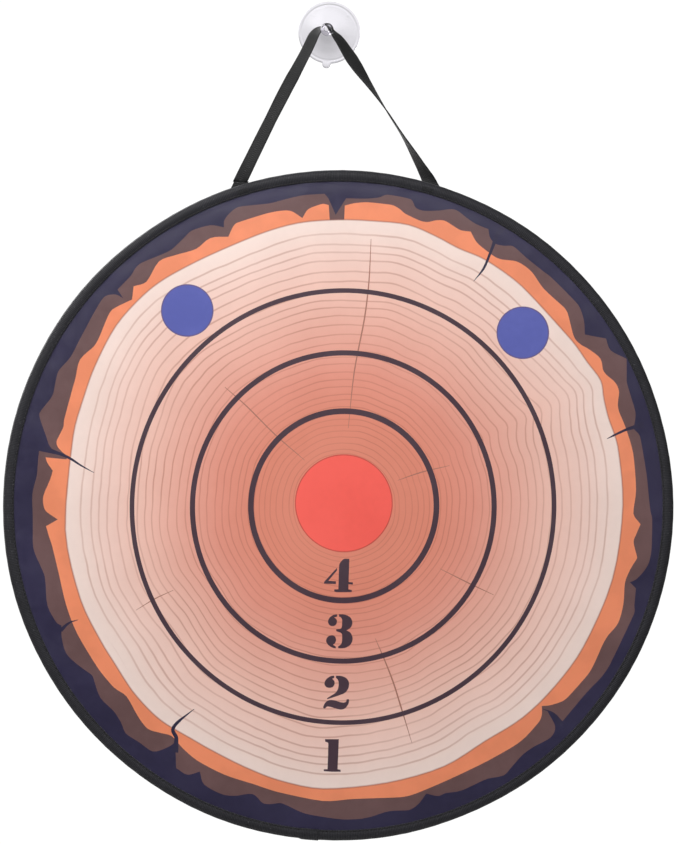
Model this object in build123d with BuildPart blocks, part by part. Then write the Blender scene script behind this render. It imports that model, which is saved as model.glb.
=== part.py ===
from build123d import *
import os
from math import asin, cos, degrees, radians, sin

os.makedirs("parts", exist_ok=True)

# A soft magnetic target hung on a wall from a suction cup by a webbing strap.
# Millimetres, +Z up. The wall is the plane Y = 0 and everything stands in front of it,
# towards -Y, so "depth" below is the distance from the wall. The origin is the middle
# of the suction cup on the wall.

# ---- driving dimensions ----

# where the target hangs, from the middle of the suction cup
TARGET_X = 8.6
TARGET_Z = -355.6

# the target's rim: a grosgrain tape folded over the edge
RIM_RADIUS = 250.0
BINDING_REACH = 8.0
BINDING_THICKNESS = 0.8
BINDING_BACK = 11.85
BINDING_FRONT = 20.15
BINDING_ROUND = 3.4
LAP_ANGLE = 183.4
LAP_ARC = 3.4
LAP_THICKNESS = 0.6
LAP_INNER_RADIUS = 243.3

# the layers of the target, back to front, each with its depth from the wall
BACK_COVER_THICKNESS = 0.8
BACK_COVER_DEPTH = 12.4
BACKING_THICKNESS = 2.5
FILM_THICKNESS = 0.2
STEEL_THICKNESS = 0.5
FOAM_THICKNESS = 2.4
FRONT_COVER_THICKNESS = 0.6
BACKING_DEPTH = BACK_COVER_DEPTH + BACK_COVER_THICKNESS
REAR_FILM_DEPTH = BACKING_DEPTH + BACKING_THICKNESS
STEEL_DEPTH = REAR_FILM_DEPTH + FILM_THICKNESS
FRONT_FILM_DEPTH = STEEL_DEPTH + STEEL_THICKNESS
FOAM_DEPTH = FRONT_FILM_DEPTH + FILM_THICKNESS
FRONT_COVER_DEPTH = FOAM_DEPTH + FOAM_THICKNESS

# their radii: the stiff layers stay inside the seam
COVER_RADIUS = 246.5
SEAM_RADIUS = 241.0
FLAT_RADIUS = 238.0
STIFF_RADIUS = 237.5
FILM_RADIUS = 236.0
SEAM_DIP = 0.25

# the piping cord inside the rim
RIM_CORD_RADIUS = 2.6
RIM_CORD_CENTRE = (245.9, 16.1)

# thread
THREAD_WIDTH = 0.6
THREAD_HEIGHT = 0.4
SEAM_STITCH_RADIUS = 242.6
LAP_STITCHES = 3
LAP_STITCH_LENGTH = 0.9
LAP_STITCH_PITCH = 1.2
TACK_BARS = 4
TACK_PITCH = 0.7
TACK_WIDTH = 7.6
TACK_RADIUS = 244.5

# the suction cup, pressed on the wall: radii and depths of its turned section
CUP_RADIUS = 22.8
CUP_LIP_RADIUS = 20.4
CUP_LIP_DEPTH = 1.4
CUP_HOLLOW_DEPTH = 1.8
CUP_SHOULDER = (19.6, 1.9)
CUP_DOME = (9.0, 6.4)
CUP_BOSS = (4.6, 9.4)
NECK_RADIUS = 2.3
NECK_START = 10.2
HEAD_START = 21.6
HEAD_RADIUS = 4.8
HEAD_THICKNESS = 3.6
HEAD_ROUND = 1.5
TAB_WIDTH = 5.2
TAB_REACH = 26.2
TAB_THICKNESS = 1.1

# the strap: 10 mm webbing over the neck, its ends sewn behind the rim
STRAP_WIDTH = 10.0
STRAP_THICKNESS = 1.2
STRAP_HINGE_Z = TARGET_Z + 242.4
STRAP_END_GAP = 0.3
STRAP_NECK_DEPTH = 16.0
STRAP_END_DEPTH = BINDING_BACK - STRAP_END_GAP - STRAP_THICKNESS / 2
STRAP_STATION_GAP = 4.0
NECK_STATION_GAP = 0.6
NECK_STATION_REACH = 9.0
STRAP_NECK_RADIUS = 3.1

# its route seen from the front, from the left over the neck to the right; the webbing is
# cut level just above the line where its sewn ends bend
STRAP_ROUTE = [
    (-66.7, -119.2),
    (-37.8, -58.2),
    (-15.2, -16.8),
    (-7.8, -2.4),
    (0.4, 4.5),
    (6.0, -2.4),
    (16.2, -17.2),
    (44.2, -59.7),
    (80.2, -119.2),
]

# how far the webbing has turned, in degrees, at each distance from the neck:
# 0 is edge on to the player, 90 is flat
LEFT_TURNS = [(0, 0), (3, 0), (11, 48), (28, 62), (75, 76), (140, 90)]
RIGHT_TURNS = [(0, 0), (3.5, 0), (9, 24), (26, 62), (46, 92), (84, 180), (142, 270)]

# the sewn ends: the direction of each strand below the hinge, from the vertical
LEFT_END_X = -63.8
RIGHT_END_X = 76.6
LEFT_LEAN = -25.5
RIGHT_LEAN = 31.0
SEWN_LENGTH = 16.0
SEWN_INNER_RADIUS = 243.3


# ---- planes ----

def facing(depth):
    """A plane parallel to the wall through the target's middle, facing the player."""
    return Plane(origin=(TARGET_X, -depth, TARGET_Z), x_dir=(1, 0, 0), z_dir=(0, -1, 0))


def section_at(angle):
    """The half section at that angle, clockwise from the top: x is radius, y is depth."""
    a = radians(angle)
    return Plane(
        origin=(TARGET_X, 0, TARGET_Z),
        x_dir=(sin(a), 0, cos(a)),
        z_dir=(cos(a), 0, -sin(a)),
    )


TARGET_SECTION = section_at(90)
TARGET_AXIS = Axis((TARGET_X, 0, TARGET_Z), (0, -1, 0))
CUP_SECTION = Plane(origin=(0, 0, 0), x_dir=(1, 0, 0), z_dir=(0, 0, -1))
CUP_AXIS = Axis((0, 0, 0), (0, -1, 0))


# ---- suction cup ----

with BuildPart() as suction_cup:
    with BuildSketch(CUP_SECTION):
        with BuildLine():
            lip = Polyline(
                (0, CUP_HOLLOW_DEPTH),
                (CUP_LIP_RADIUS - 6, CUP_HOLLOW_DEPTH - 0.5),
                (CUP_LIP_RADIUS, 0),
                (CUP_RADIUS, 0),
                (CUP_RADIUS, CUP_LIP_DEPTH),
                (CUP_LIP_RADIUS + 0.6, CUP_LIP_DEPTH + 0.5),
                CUP_SHOULDER,
            )
            dome = Spline(CUP_SHOULDER, CUP_DOME, CUP_BOSS)
            Polyline(
                CUP_BOSS,
                (NECK_RADIUS, NECK_START),
                (NECK_RADIUS, HEAD_START),
                (HEAD_RADIUS, HEAD_START),
                (HEAD_RADIUS, HEAD_START + HEAD_THICKNESS),
                (0, HEAD_START + HEAD_THICKNESS),
                (0, CUP_HOLLOW_DEPTH),
            )
        make_face()
    revolve(axis=CUP_AXIS)
    head_front = suction_cup.edges().filter_by(GeomType.CIRCLE).sort_by(Axis.Y)[0]
    fillet(head_front, radius=HEAD_ROUND)
    with BuildSketch(Plane.XZ.offset(CUP_LIP_DEPTH - TAB_THICKNESS)):
        with Locations((0, -(CUP_RADIUS + TAB_REACH - TAB_WIDTH / 2) / 2)):
            Rectangle(TAB_WIDTH, TAB_REACH - TAB_WIDTH / 2 - CUP_RADIUS + 1.2)
        with Locations((0, -TAB_REACH + TAB_WIDTH / 2)):
            Circle(TAB_WIDTH / 2)
    extrude(amount=TAB_THICKNESS)
suction_cup.part.label = "suction_cup"
export_step(suction_cup.part, "parts/suction_cup.step")


# ---- strap ----

def turn_at(turns, distance):
    """The webbing's turn at that distance from the neck, straight between the listed ones."""
    for (d0, t0), (d1, t1) in zip(turns, turns[1:]):
        if distance <= d1:
            return t0 + (t1 - t0) * (distance - d0) / (d1 - d0)
    return turns[-1][1]


def route_radii(points, neck_index):
    """An arc for each corner: the neck's own radius at the top, elsewhere as large as its runs allow."""
    radii = []
    for i in range(1, len(points) - 1):
        before = Vector(*points[i]) - Vector(*points[i - 1])
        after = Vector(*points[i + 1]) - Vector(*points[i])
        half = radians(before.get_angle(after) / 2)
        largest = 0.45 * min(before.length, after.length) * cos(half) / sin(half)
        radii.append(STRAP_NECK_RADIUS if i == neck_index else largest)
    return radii


NECK_INDEX = 4
print("strap radii", [round(r, 1) for r in route_radii([(x, z, 0) for x, z in STRAP_ROUTE], NECK_INDEX)])

with BuildLine(Plane.XZ) as strap_line:
    flat_route = FilletPolyline(
        *[(x, z) for x, z in STRAP_ROUTE],
        radius=route_radii([(x, z, 0) for x, z in STRAP_ROUTE], NECK_INDEX),
    )
strap_wire = strap_line.wires()[0]
STRAP_LENGTH = strap_wire.length
NECK_SHARE = min(range(1001), key=lambda i: -(strap_wire @ (i / 1000)).Z) / 1000
NECK_DISTANCE = NECK_SHARE * STRAP_LENGTH


def strap_station(share):
    """The plane of the webbing's section at that share of the route, x across its width."""
    point = strap_wire @ share
    along = strap_wire % share
    from_neck = share * STRAP_LENGTH - NECK_DISTANCE
    turns = LEFT_TURNS if from_neck < 0 else RIGHT_TURNS
    reach = NECK_DISTANCE if from_neck < 0 else STRAP_LENGTH - NECK_DISTANCE
    lean = abs(from_neck) / reach
    depth = STRAP_NECK_DEPTH + (STRAP_END_DEPTH - STRAP_NECK_DEPTH) * lean
    turn = radians(turn_at(turns, abs(from_neck)))
    across = Vector(0, -cos(turn), 0) + along.cross(Vector(0, -1, 0)) * sin(turn)
    return Plane(origin=(point.X, -depth, point.Z), x_dir=across, z_dir=along)


def strap_shares():
    """The shares of the route where the webbing's section is drawn, closer together over the neck."""
    shares, distance = [], 0.0
    while distance < STRAP_LENGTH:
        shares.append(distance / STRAP_LENGTH)
        near_neck = abs(distance - NECK_DISTANCE) < NECK_STATION_REACH
        distance += NECK_STATION_GAP if near_neck else STRAP_STATION_GAP
    return shares + [1.0]


with BuildPart() as hanging_strap:
    for share in strap_shares():
        with BuildSketch(strap_station(share)):
            Rectangle(STRAP_WIDTH, STRAP_THICKNESS)
    loft(ruled=True)
    split(bisect_by=Plane.XY.offset(STRAP_HINGE_Z + STRAP_END_GAP), keep=Keep.TOP)
hanging_strap.part.label = "hanging_strap"
export_step(hanging_strap.part, "parts/hanging_strap.step")
print("strap length", round(STRAP_LENGTH, 1), "volume", round(hanging_strap.part.volume, 1))


def sewn_end(label, end_x, lean):
    """The end of the webbing below the hinge line, flat on the back of the rim."""
    a = radians(lean)
    down = Vector(sin(a), -cos(a))
    across = Vector(cos(a), sin(a))
    top = Vector(end_x - TARGET_X, STRAP_HINGE_Z - TARGET_Z - STRAP_END_GAP / 3)
    half = STRAP_WIDTH / 2 / cos(a)
    corners = [top + Vector(-half, 0), top + Vector(half, 0)]
    foot = top + down * SEWN_LENGTH
    corners += [foot + across * (STRAP_WIDTH / 2), foot - across * (STRAP_WIDTH / 2)]
    with BuildPart() as end:
        with BuildSketch(facing(BINDING_BACK - STRAP_THICKNESS)):
            Polygon(*[(c.X, c.Y) for c in corners], align=None)
            Circle(SEWN_INNER_RADIUS, mode=Mode.SUBTRACT)
        extrude(amount=STRAP_THICKNESS)
    end.part.label = label
    export_step(end.part, f"parts/{label}.step")


sewn_end("strap_end_left", LEFT_END_X, LEFT_LEAN)
sewn_end("strap_end_right", RIGHT_END_X, RIGHT_LEAN)


# ---- the target's layers ----

def flat_disc(label, radius, depth, thickness):
    """A flat round layer of the target."""
    with BuildPart() as layer:
        with BuildSketch(facing(depth)):
            Circle(radius)
        extrude(amount=thickness)
    layer.part.label = label
    export_step(layer.part, f"parts/{label}.step")


flat_disc("backing_board", STIFF_RADIUS, BACKING_DEPTH, BACKING_THICKNESS)
flat_disc("rear_adhesive_film", FILM_RADIUS, REAR_FILM_DEPTH, FILM_THICKNESS)
flat_disc("steel_sheet", STIFF_RADIUS, STEEL_DEPTH, STEEL_THICKNESS)
flat_disc("front_adhesive_film", FILM_RADIUS, FRONT_FILM_DEPTH, FILM_THICKNESS)


def cover(label, depth, thickness, dip):
    """A round cover, flat in the middle, that dips towards the seam and runs on into the rim."""
    with BuildPart() as cloth:
        with BuildSketch(TARGET_SECTION):
            Polygon(
                (0, depth),
                (FLAT_RADIUS, depth),
                (SEAM_RADIUS, depth + dip),
                (COVER_RADIUS, depth + dip),
                (COVER_RADIUS, depth + thickness + dip),
                (SEAM_RADIUS, depth + thickness + dip),
                (FLAT_RADIUS, depth + thickness),
                (0, depth + thickness),
                align=None,
            )
        revolve(axis=TARGET_AXIS)
    cloth.part.label = label
    export_step(cloth.part, f"parts/{label}.step")


cover("back_cover", BACK_COVER_DEPTH, BACK_COVER_THICKNESS, SEAM_DIP)
cover("front_cover", FRONT_COVER_DEPTH, FRONT_COVER_THICKNESS, -SEAM_DIP)

with BuildPart() as front_foam:
    with BuildSketch(TARGET_SECTION):
        Polygon(
            (0, FOAM_DEPTH),
            (SEAM_RADIUS, FOAM_DEPTH),
            (SEAM_RADIUS, FRONT_COVER_DEPTH - SEAM_DIP),
            (FLAT_RADIUS, FRONT_COVER_DEPTH),
            (0, FRONT_COVER_DEPTH),
            align=None,
        )
    revolve(axis=TARGET_AXIS)
front_foam.part.label = "front_foam"
export_step(front_foam.part, "parts/front_foam.step")


# ---- the rim ----

with BuildPart() as rim_cord:
    with BuildSketch(TARGET_SECTION):
        with Locations(RIM_CORD_CENTRE):
            Circle(RIM_CORD_RADIUS)
    revolve(axis=TARGET_AXIS)
rim_cord.part.label = "rim_cord"
export_step(rim_cord.part, "parts/rim_cord.step")


def rim_outline(grow, inside, mode=Mode.ADD):
    """The rim's section from that radius out, rounded outside, grown outwards by that much."""
    near = BINDING_BACK - grow
    far = BINDING_FRONT + grow
    outside = RIM_RADIUS + grow
    bend = BINDING_ROUND + grow
    with BuildLine() as outline:
        Line((inside, near), (outside - bend, near))
        RadiusArc((outside - bend, near), (outside, near + bend), -bend)
        Line((outside, near + bend), (outside, far - bend))
        RadiusArc((outside, far - bend), (outside - bend, far), -bend)
        Polyline((outside - bend, far), (inside, far), (inside, near))
    make_face(outline.edges(), mode=mode)


with BuildPart() as edge_binding:
    with BuildSketch(TARGET_SECTION):
        rim_outline(0, RIM_RADIUS - BINDING_REACH)
        rim_outline(-BINDING_THICKNESS, RIM_RADIUS - BINDING_REACH, Mode.SUBTRACT)
    revolve(axis=TARGET_AXIS)
    with BuildSketch(section_at(LAP_ANGLE)):
        rim_outline(LAP_THICKNESS, LAP_INNER_RADIUS)
        rim_outline(0, LAP_INNER_RADIUS, Mode.SUBTRACT)
    revolve(axis=TARGET_AXIS, revolution_arc=LAP_ARC)
edge_binding.part.label = "edge_binding"
export_step(edge_binding.part, "parts/edge_binding.step")


# ---- stitching ----

def seam_thread(label, depth):
    """The line of thread round the rim, on the face of the tape at that depth."""
    with BuildPart() as thread:
        with BuildSketch(facing(depth)):
            Circle(SEAM_STITCH_RADIUS + THREAD_WIDTH / 2)
            Circle(SEAM_STITCH_RADIUS - THREAD_WIDTH / 2, mode=Mode.SUBTRACT)
        extrude(amount=THREAD_HEIGHT)
    thread.part.label = label
    export_step(thread.part, f"parts/{label}.step")


seam_thread("rim_stitching_front", BINDING_FRONT)
seam_thread("rim_stitching_back", BINDING_BACK - THREAD_HEIGHT)


def strap_tack(label, end_x):
    """A tack: bars of thread along the rim, on the front of the tape and on the webbing behind it."""
    side = (end_x - TARGET_X) / RIM_RADIUS
    out = Vector(side, (1 - side**2) ** 0.5)
    faces = [BINDING_FRONT, BINDING_BACK - STRAP_THICKNESS - THREAD_HEIGHT]
    with BuildPart() as tack:
        for depth in faces:
            with BuildSketch(facing(depth)):
                for bar in range(TACK_BARS):
                    place = out * (TACK_RADIUS + bar * TACK_PITCH)
                    with Locations((place.X, place.Y)):
                        Rectangle(TACK_WIDTH, THREAD_WIDTH, rotation=-degrees(asin(side)))
            extrude(amount=THREAD_HEIGHT)
    tack.part.label = label
    export_step(tack.part, f"parts/{label}.step")


strap_tack("strap_tack_left", LEFT_END_X)
strap_tack("strap_tack_right", RIGHT_END_X)

with BuildPart() as lap_stitching:
    for depth in (BINDING_FRONT + LAP_THICKNESS, BINDING_BACK - LAP_THICKNESS - THREAD_HEIGHT):
        with BuildSketch(facing(depth)):
            for stitch in range(LAP_STITCHES):
                radius = LAP_INNER_RADIUS + THREAD_WIDTH + stitch * LAP_STITCH_PITCH
                a = radians(LAP_ANGLE - LAP_ARC / 4)
                with Locations((radius * sin(a), radius * cos(a))):
                    Rectangle(THREAD_WIDTH, LAP_STITCH_LENGTH, rotation=LAP_ARC / 4 - LAP_ANGLE)
        extrude(amount=THREAD_HEIGHT)
lap_stitching.part.label = "lap_stitching"
export_step(lap_stitching.part, "parts/lap_stitching.step")
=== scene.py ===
"""The looks of a soft magnetic target hung from a suction cup: its surfaces, finishes, camera and light."""

import logging
from dataclasses import dataclass
from enum import Enum
from math import cos, e, pi, radians, sin

import bmesh
import bpy
import numpy as np
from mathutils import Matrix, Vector
from mathutils.geometry import delaunay_2d_cdt


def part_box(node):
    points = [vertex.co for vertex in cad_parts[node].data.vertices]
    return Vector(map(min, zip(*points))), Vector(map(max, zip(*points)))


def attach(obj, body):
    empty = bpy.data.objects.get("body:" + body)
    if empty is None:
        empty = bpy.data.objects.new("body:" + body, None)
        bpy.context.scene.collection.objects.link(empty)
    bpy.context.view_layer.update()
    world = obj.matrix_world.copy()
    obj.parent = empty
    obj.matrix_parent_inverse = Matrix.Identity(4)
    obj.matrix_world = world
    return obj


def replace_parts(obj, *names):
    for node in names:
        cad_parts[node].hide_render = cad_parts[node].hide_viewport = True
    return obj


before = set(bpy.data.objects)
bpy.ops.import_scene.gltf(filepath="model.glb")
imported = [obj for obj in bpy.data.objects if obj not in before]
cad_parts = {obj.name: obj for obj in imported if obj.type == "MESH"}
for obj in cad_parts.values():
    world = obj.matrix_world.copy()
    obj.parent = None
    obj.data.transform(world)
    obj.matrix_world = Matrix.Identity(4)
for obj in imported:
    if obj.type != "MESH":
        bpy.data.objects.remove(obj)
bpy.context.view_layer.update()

LOG = logging.getLogger("target")
MM = 0.001
FULL_TURN = 360.0
Points = list[tuple[float, float]]
Colour = tuple[float, float, float]
Size = tuple[float, float, float]
Piece = bpy.types.Object
Socket = bpy.types.NodeSocket


# ---- where things are ----


@dataclass(frozen=True)
class Place:
    """Where the target hangs and how thick it is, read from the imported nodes, in metres."""

    x: float
    z: float
    radius: float
    face_depth: float
    back_depth: float

    @classmethod
    def from_frame(cls) -> "Place":
        """Reads the covers' boxes. The binding reaches 3.5 mm past the front cover."""
        low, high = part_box("front_cover")
        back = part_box("back_cover")[1]
        radius = (high.x - low.x) / 2 + 3.5 * MM
        return cls((low.x + high.x) / 2, (low.z + high.z) / 2, radius, -low.y, -back.y)

    def lift(self, flat: np.ndarray, depth: np.ndarray | float) -> np.ndarray:
        """Points of the target's own plane, in mm from its middle, put in the frame.

        Args:
            flat: (..., 2) to the right and up, in mm.
            depth: distance from the wall, in mm.

        Returns:
            (..., 3) in metres.
        """
        x, z = self.x + flat[..., 0] * MM, self.z + flat[..., 1] * MM
        y = np.broadcast_to(-np.asarray(depth, float) * MM, x.shape)
        return np.stack([x, y, z], -1)


def polar(radius: np.ndarray | float, angle: np.ndarray | float) -> np.ndarray:
    """Points at a radius and an angle in degrees, clockwise from the top: (r sin a, r cos a)."""
    a = np.radians(angle)
    return np.stack([radius * np.sin(a), radius * np.cos(a)], -1)


def smoothstep(low: float, high: float, value: np.ndarray) -> np.ndarray:
    """0 below low, 1 above high, 3t^2 - 2t^3 between."""
    t = np.clip((value - low) / (high - low), 0, 1)
    return t * t * (3 - 2 * t)


def bell(value: np.ndarray, middle: float, width: float) -> np.ndarray:
    """1 at the middle, falling off both ways as exp(-((value - middle) / width)^2)."""
    return np.exp(-(((value - middle) / width) ** 2))


def smooth_line(points: Points, steps: int, closed: bool, corner: float = 50.0) -> np.ndarray:
    """A curve through points: a cubic Hermite span from each to the next.

    A span's end slope is half the chord between its point's neighbours, cut to the shorter run
    beside it. Where the line turns by more than corner it is the span itself, and stays sharp.

    Args:
        points: the places it goes through.
        steps: how many pieces each span is cut into.
        closed: whether the last point runs on to the first.
        corner: the turn, in degrees, from which a point is a corner.

    Returns:
        (n, 2) points along the curve.
    """
    p = np.asarray(points, float)
    after = np.roll(p, -1, 0) - p
    before = np.roll(after, 1, 0)
    if not closed:
        after[-1] = before[-1]
        before[0] = after[0]
    run, last = np.linalg.norm(after, axis=1), np.linalg.norm(before, axis=1)
    chord = (after + before) / 2
    shorter = np.minimum(run, last) / np.maximum(np.linalg.norm(chord, axis=1), 1e-9)
    slope = chord * np.minimum(shorter, 1)[:, None]
    sharp = (after * before).sum(1) < cos(radians(corner)) * run * last
    leave = np.where(sharp[:, None], after, slope)
    arrive = np.where(np.roll(sharp, -1)[:, None], after, np.roll(slope, -1, 0))
    t = (np.arange(steps) / steps)[None, :, None]
    start, end = p[:, None], np.roll(p, -1, 0)[:, None]
    curve = start * (2 * t**3 - 3 * t**2 + 1) + end * (3 * t**2 - 2 * t**3)
    curve = curve + leave[:, None] * (t**3 - 2 * t**2 + t) + arrive[:, None] * (t**3 - t**2)
    if closed:
        return curve.reshape(-1, 2)
    return np.vstack([curve[:-1].reshape(-1, 2), p[-1:]])


# ---- meshes ----


def new_piece(name: str, points: np.ndarray, faces: np.ndarray) -> Piece:
    """An object at the origin with that mesh.

    Args:
        name: the piece's name.
        points: (n, 3) in metres.
        faces: (m, corners) point numbers.
    """
    mesh = bpy.data.meshes.new(name)
    mesh.vertices.add(len(points))
    mesh.vertices.foreach_set("co", points.astype(np.float32).ravel())
    mesh.loops.add(faces.size)
    mesh.loops.foreach_set("vertex_index", faces.astype(np.int32).ravel())
    mesh.polygons.add(len(faces))
    mesh.polygons.foreach_set("loop_start", np.arange(0, faces.size, faces.shape[1], dtype=np.int32))
    mesh.update(calc_edges=True)
    mesh.shade_smooth()
    piece = bpy.data.objects.new(name, mesh)
    bpy.context.scene.collection.objects.link(piece)
    return piece


def grid_faces(rows: int, columns: int, wrap_rows: bool, wrap_columns: bool) -> np.ndarray:
    """The four corners of every cell of a grid of points, row by row."""
    i = np.arange(rows if wrap_rows else rows - 1)[:, None]
    j = np.arange(columns if wrap_columns else columns - 1)[None, :]
    i2, j2 = (i + 1) % rows, (j + 1) % columns
    return np.stack([a * columns + b for a, b in ((i, j), (i2, j), (i2, j2), (i, j2))], -1).reshape(-1, 4)


def seal(piece: Piece) -> Piece:
    """Welds doubled points, drops empty faces and turns the rest outwards."""
    work = bmesh.new()
    work.from_mesh(piece.data)
    bmesh.ops.remove_doubles(work, verts=work.verts, dist=1e-6)
    bmesh.ops.dissolve_degenerate(work, edges=work.edges, dist=1e-7)
    bmesh.ops.recalc_face_normals(work, faces=work.faces)
    work.to_mesh(piece.data)
    work.free()
    piece.data.update()
    return piece


def grid_piece(
    name: str,
    points: np.ndarray,
    wrap_rows: bool = False,
    wrap_columns: bool = False,
    lengths: tuple[np.ndarray, np.ndarray] | None = None,
) -> Piece:
    """A closed surface over a grid of points, its poles welded and its faces turned outwards.

    Args:
        name: the piece's name.
        points: (rows, columns, 3) in metres.
        wrap_rows: the last row joins the first.
        wrap_columns: the last column joins the first.
        lengths: metres along the rows and the columns, with one more entry where they wrap,
            for the UV map that the weave follows.
    """
    rows, columns = points.shape[:2]
    piece = new_piece(name, points.reshape(-1, 3), grid_faces(rows, columns, wrap_rows, wrap_columns))
    if lengths is not None:
        along, across = lengths
        i, j = np.meshgrid(np.arange(len(along) - 1), np.arange(len(across) - 1), indexing="ij")
        u = np.stack([along[i], along[i + 1], along[i + 1], along[i]], -1)
        v = np.stack([across[j], across[j], across[j + 1], across[j + 1]], -1)
        layer = piece.data.uv_layers.new(name="Cloth")
        layer.data.foreach_set("uv", np.stack([u, v], -1).astype(np.float32).ravel())
    return seal(piece)


def lathe(
    section: np.ndarray, angles: np.ndarray, place: Place, grow: np.ndarray | float = 0.0
) -> np.ndarray:
    """Carries a section round the target's middle: row a, column s is the section point s at angle a.

    Args:
        section: (n, 2) radius and depth in mm.
        angles: degrees, clockwise from the top.
        place: the target's place.
        grow: (angles, n, 2) added to the section at each angle.

    Returns:
        (angles, n, 3) in metres.
    """
    whole = np.broadcast_to(section, (len(angles), *section.shape)) + grow
    return place.lift(polar(whole[..., 0], angles[:, None]), whole[..., 1])


def stitches(name: str, origin: np.ndarray, along: np.ndarray, up: np.ndarray, size: Size) -> Piece:
    """One short loop of thread at each origin.

    A stitch is a round bar whose ends close and sink: at share s from -1 to 1 of its length its
    middle stands 1 - s^2 of its height out of the cloth and its radius is sqrt(1 - s^4).

    Args:
        name: the piece's name.
        origin: (n, 3) middles on the cloth, in metres.
        along: (n, 3) unit directions of the thread.
        up: (n, 3) unit directions out of the cloth.
        size: length, width and height, in mm.
    """
    length, width, height = np.array(size) * MM
    share = np.array([-1, -0.86, -0.45, 0, 0.45, 0.86, 1.0])[:, None]
    turn = np.radians(np.arange(0, FULL_TURN, 60))[None, :]
    round_off = np.sqrt(1 - share**4)
    run = share * length / 2 + 0 * turn
    wide = round_off * np.cos(turn) * width / 2
    high = (1 - share**2) * height / 2 + round_off * np.sin(turn) * height / 2
    points = origin[:, None, None]
    for offset, direction in ((run, along), (wide, np.cross(along, up)), (high, up)):
        points = points + offset[None, ..., None] * direction[:, None, None]
    faces = grid_faces(*run.shape, False, True)
    steps = np.arange(len(origin)) * run.size
    return seal(new_piece(name, points.reshape(-1, 3), (steps[:, None, None] + faces).reshape(-1, 4)))


def stand_for(piece: Piece, body: str, node: str) -> Piece:
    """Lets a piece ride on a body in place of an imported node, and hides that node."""
    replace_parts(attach(piece, body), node)
    return piece


# ---- node trees ----


class Tree:
    """Short calls that place and join nodes in a material, a world or a group."""

    def __init__(self, tree: bpy.types.NodeTree) -> None:
        """Starts from an empty tree."""
        self.tree = tree
        tree.nodes.clear()

    def node(self, kind: str, inputs: dict | None = None, **settings: object) -> bpy.types.Node:
        """Adds a node. An input's value is a socket to join or a plain value to set."""
        made = self.tree.nodes.new(kind)
        for key, value in settings.items():
            setattr(made, key, value)
        for key, value in (inputs or {}).items():
            self.feed(made.inputs[key], value)
        return made

    def feed(self, socket: Socket, value: object) -> None:
        """Joins a socket to the input, or sets the input's value."""
        if isinstance(value, Socket):
            self.tree.links.new(value, socket)
        else:
            socket.default_value = value

    def math(self, operation: str, a: object, b: object = 0.0, c: object = 0.0) -> Socket:
        """One Math node's result."""
        return self.node("ShaderNodeMath", {0: a, 1: b, 2: c}, operation=operation).outputs[0]

    def mix(self, share: object, a: object, b: object, blend: str = "MIX") -> Socket:
        """Colour a turned into colour b by that share."""
        made = self.node("ShaderNodeMix", data_type="RGBA", blend_type=blend)
        for key, value in (("Factor_Float", share), ("A_Color", a), ("B_Color", b)):
            self.feed(next(s for s in made.inputs if s.identifier == key), value)
        return next(s for s in made.outputs if s.identifier == "Result_Color")

    def times(self, a: object, b: object, share: float = 1.0) -> Socket:
        """Colour a multiplied by colour b, by that share."""
        return self.mix(share, a, b, "MULTIPLY")

    def range(self, value: object, low: float, high: float, start: float, end: float) -> Socket:
        """value from low..high taken smoothly to start..end, and held there outside."""
        inputs = {"Value": value, "From Min": low, "From Max": high, "To Min": start, "To Max": end}
        return self.node("ShaderNodeMapRange", inputs, interpolation_type="SMOOTHSTEP").outputs["Result"]

    def ramp(self, value: object, stops: list[tuple[float, Colour]]) -> Socket:
        """A colour that runs through the stops as value goes from 0 to 1."""
        made = self.node("ShaderNodeValToRGB", {"Fac": value})
        band = made.color_ramp.elements
        while len(band) < len(stops):
            band.new(0.5)
        for element, (position, colour) in zip(band, stops):
            element.position = position
            element.color = ink(*colour)
        return made.outputs["Color"]

    def noise(self, vector: object, scale: object, detail: float = 3.0) -> Socket:
        """Cloudy noise from 0 to 1."""
        inputs = {"Vector": vector, "Scale": scale, "Detail": detail}
        return self.node("ShaderNodeTexNoise", inputs).outputs["Fac"]

    def swing(self, value: object, amount: object) -> Socket:
        """A value from 0 to 1 as that amount, half of it each side of 0."""
        return self.math("MULTIPLY", self.math("SUBTRACT", value, 0.5), amount)


def ink(red: float, green: float, blue: float) -> tuple[float, float, float, float]:
    """A colour given as screen values from 0 to 255, as the linear values that shaders take."""
    shares = np.array([red, green, blue]) / 255
    low, high = shares / 12.92, ((shares + 0.055) / 1.055) ** 2.4
    return (*np.where(shares <= 0.04045, low, high).tolist(), 1.0)


class Effect(Enum):
    """The surface effects that several finishes share."""

    WEAVE = "Weave"
    MOTTLE = "Mottle"


def effect_group(effect: Effect, ins: list[str], outs: list[str]) -> tuple[Tree, bpy.types.NodeInputs]:
    """Starts an effect's group, with a Vector and those numbers in and those numbers out.

    Returns:
        The group's tree and what it is given.
    """
    group = bpy.data.node_groups.new(effect.value, "ShaderNodeTree")
    group.interface.new_socket("Vector", in_out="INPUT", socket_type="NodeSocketVector")
    for way, names in (("INPUT", ins), ("OUTPUT", outs)):
        for name in names:
            group.interface.new_socket(name, in_out=way, socket_type="NodeSocketFloat")
    tree = Tree(group)
    return tree, tree.node("NodeGroupInput").outputs


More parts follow.
